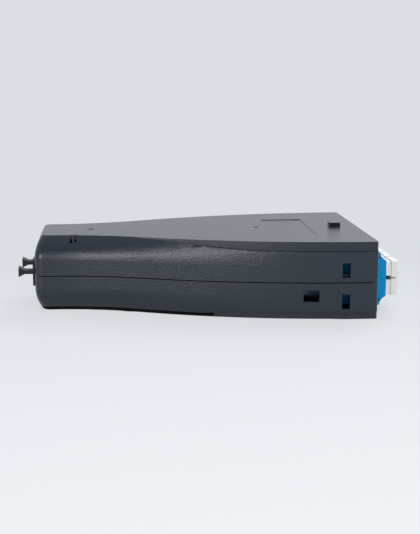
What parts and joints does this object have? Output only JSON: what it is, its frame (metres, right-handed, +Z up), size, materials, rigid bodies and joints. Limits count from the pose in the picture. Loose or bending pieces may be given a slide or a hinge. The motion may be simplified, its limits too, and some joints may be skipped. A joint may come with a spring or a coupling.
{
  "type": "fibre cassette",
  "caption": "Flared two-shell fibre cassette with duplex LC adapters and dust caps at the wide end and MPO adapters at the narrow end.",
  "frame": {"origin": "middle of the underside, half way between the LC face and the rear face, on the centre line", "axes": "+X out of the LC face at the wide end, +Z up from the underside, +Y across"},
  "size_m": [0.1778, 0.1016, 0.038],
  "materials": {
    "housing_plastic": "fine spark-eroded texture, charcoal",
    "adapter_plastic": "smooth moulded, blue",
    "lc_cap_plastic": "soft satin, cream",
    "plug_plastic": "smooth moulded, blue",
    "boot_rubber": "soft matt, white",
    "sleeve_ceramic": "fine ground",
    "mpo_plastic": "moulded, black",
    "mpo_cap_plastic": "soft satin, black",
    "trunk_jacket": "extruded, yellow",
    "fanout_plastic": "moulded, black",
    "pigtail_jacket": "extruded, yellow"
  },
  "bodies": {
    "housing": {"upper_shell": "housing_plastic", "lower_shell": "housing_plastic", "upper_lc_adapter_1": "adapter_plastic", "upper_lc_adapter_2": "adapter_plastic", "upper_lc_adapter_3": "adapter_plastic", "upper_lc_adapter_4": "adapter_plastic", "upper_lc_adapter_5": "adapter_plastic", "upper_lc_adapter_6": "adapter_plastic", "lower_lc_adapter_1": "adapter_plastic", "lower_lc_adapter_2": "adapter_plastic", "lower_lc_adapter_3": "adapter_plastic", "lower_lc_adapter_4": "adapter_plastic", "lower_lc_adapter_5": "adapter_plastic", "lower_lc_adapter_6": "adapter_plastic", "upper_lc_plugs_1": "plug_plastic", "upper_lc_plugs_2": "plug_plastic", "upper_lc_plugs_3": "plug_plastic", "upper_lc_plugs_4": "plug_plastic", "upper_lc_plugs_5": "plug_plastic", "upper_lc_plugs_6": "plug_plastic", "lower_lc_plugs_1": "plug_plastic", "lower_lc_plugs_2": "plug_plastic", "lower_lc_plugs_3": "plug_plastic", "lower_lc_plugs_4": "plug_plastic", "lower_lc_plugs_5": "plug_plastic", "lower_lc_plugs_6": "plug_plastic", "upper_boots": "boot_rubber", "lower_boots": "boot_rubber", "upper_sleeves": "sleeve_ceramic", "lower_sleeves": "sleeve_ceramic", "mpo_adapter_1": "mpo_plastic", "mpo_adapter_2": "mpo_plastic", "mpo_plug_1": "mpo_plastic", "mpo_plug_2": "mpo_plastic", "trunk_1": "trunk_jacket", "trunk_2": "trunk_jacket", "fanout_block_1": "fanout_plastic", "fanout_block_2": "fanout_plastic", "pigtails_1": "pigtail_jacket", "pigtails_2": "pigtail_jacket"},
    "upper_lc_cap_1": {"upper_lc_cap_1": "lc_cap_plastic"},
    "upper_lc_cap_2": {"upper_lc_cap_2": "lc_cap_plastic"},
    "upper_lc_cap_3": {"upper_lc_cap_3": "lc_cap_plastic"},
    "upper_lc_cap_4": {"upper_lc_cap_4": "lc_cap_plastic"},
    "upper_lc_cap_5": {"upper_lc_cap_5": "lc_cap_plastic"},
    "upper_lc_cap_6": {"upper_lc_cap_6": "lc_cap_plastic"},
    "lower_lc_cap_1": {"lower_lc_cap_1": "lc_cap_plastic"},
    "lower_lc_cap_2": {"lower_lc_cap_2": "lc_cap_plastic"},
    "lower_lc_cap_3": {"lower_lc_cap_3": "lc_cap_plastic"},
    "lower_lc_cap_4": {"lower_lc_cap_4": "lc_cap_plastic"},
    "lower_lc_cap_5": {"lower_lc_cap_5": "lc_cap_plastic"},
    "lower_lc_cap_6": {"lower_lc_cap_6": "lc_cap_plastic"},
    "mpo_cap_1": {"mpo_cap_1": "mpo_cap_plastic"},
    "mpo_cap_2": {"mpo_cap_2": "mpo_cap_plastic"}
  },
  "joints": [
    {"name": "upper_lc_cap_1_pull", "type": "slide", "parent": "housing", "child": "upper_lc_cap_1", "axis": [1, 0, 0], "range_m": [0, 0.02]},
    {"name": "upper_lc_cap_2_pull", "type": "slide", "parent": "housing", "child": "upper_lc_cap_2", "axis": [1, 0, 0], "range_m": [0, 0.02]},
    {"name": "upper_lc_cap_3_pull", "type": "slide", "parent": "housing", "child": "upper_lc_cap_3", "axis": [1, 0, 0], "range_m": [0, 0.02]},
    {"name": "upper_lc_cap_4_pull", "type": "slide", "parent": "housing", "child": "upper_lc_cap_4", "axis": [1, 0, 0], "range_m": [0, 0.02]},
    {"name": "upper_lc_cap_5_pull", "type": "slide", "parent": "housing", "child": "upper_lc_cap_5", "axis": [1, 0, 0], "range_m": [0, 0.02]},
    {"name": "upper_lc_cap_6_pull", "type": "slide", "parent": "housing", "child": "upper_lc_cap_6", "axis": [1, 0, 0], "range_m": [0, 0.02]},
    {"name": "lower_lc_cap_1_pull", "type": "slide", "parent": "housing", "child": "lower_lc_cap_1", "axis": [1, 0, 0], "range_m": [0, 0.02]},
    {"name": "lower_lc_cap_2_pull", "type": "slide", "parent": "housing", "child": "lower_lc_cap_2", "axis": [1, 0, 0], "range_m": [0, 0.02]},
    {"name": "lower_lc_cap_3_pull", "type": "slide", "parent": "housing", "child": "lower_lc_cap_3", "axis": [1, 0, 0], "range_m": [0, 0.02]},
    {"name": "lower_lc_cap_4_pull", "type": "slide", "parent": "housing", "child": "lower_lc_cap_4", "axis": [1, 0, 0], "range_m": [0, 0.02]},
    {"name": "lower_lc_cap_5_pull", "type": "slide", "parent": "housing", "child": "lower_lc_cap_5", "axis": [1, 0, 0], "range_m": [0, 0.02]},
    {"name": "lower_lc_cap_6_pull", "type": "slide", "parent": "housing", "child": "lower_lc_cap_6", "axis": [1, 0, 0], "range_m": [0, 0.02]},
    {"name": "mpo_cap_1_pull", "type": "slide", "parent": "housing", "child": "mpo_cap_1", "axis": [-1, 0, 0], "range_m": [0, 0.02]},
    {"name": "mpo_cap_2_pull", "type": "slide", "parent": "housing", "child": "mpo_cap_2", "axis": [-1, 0, 0], "range_m": [0, 0.02]}
  ]
}
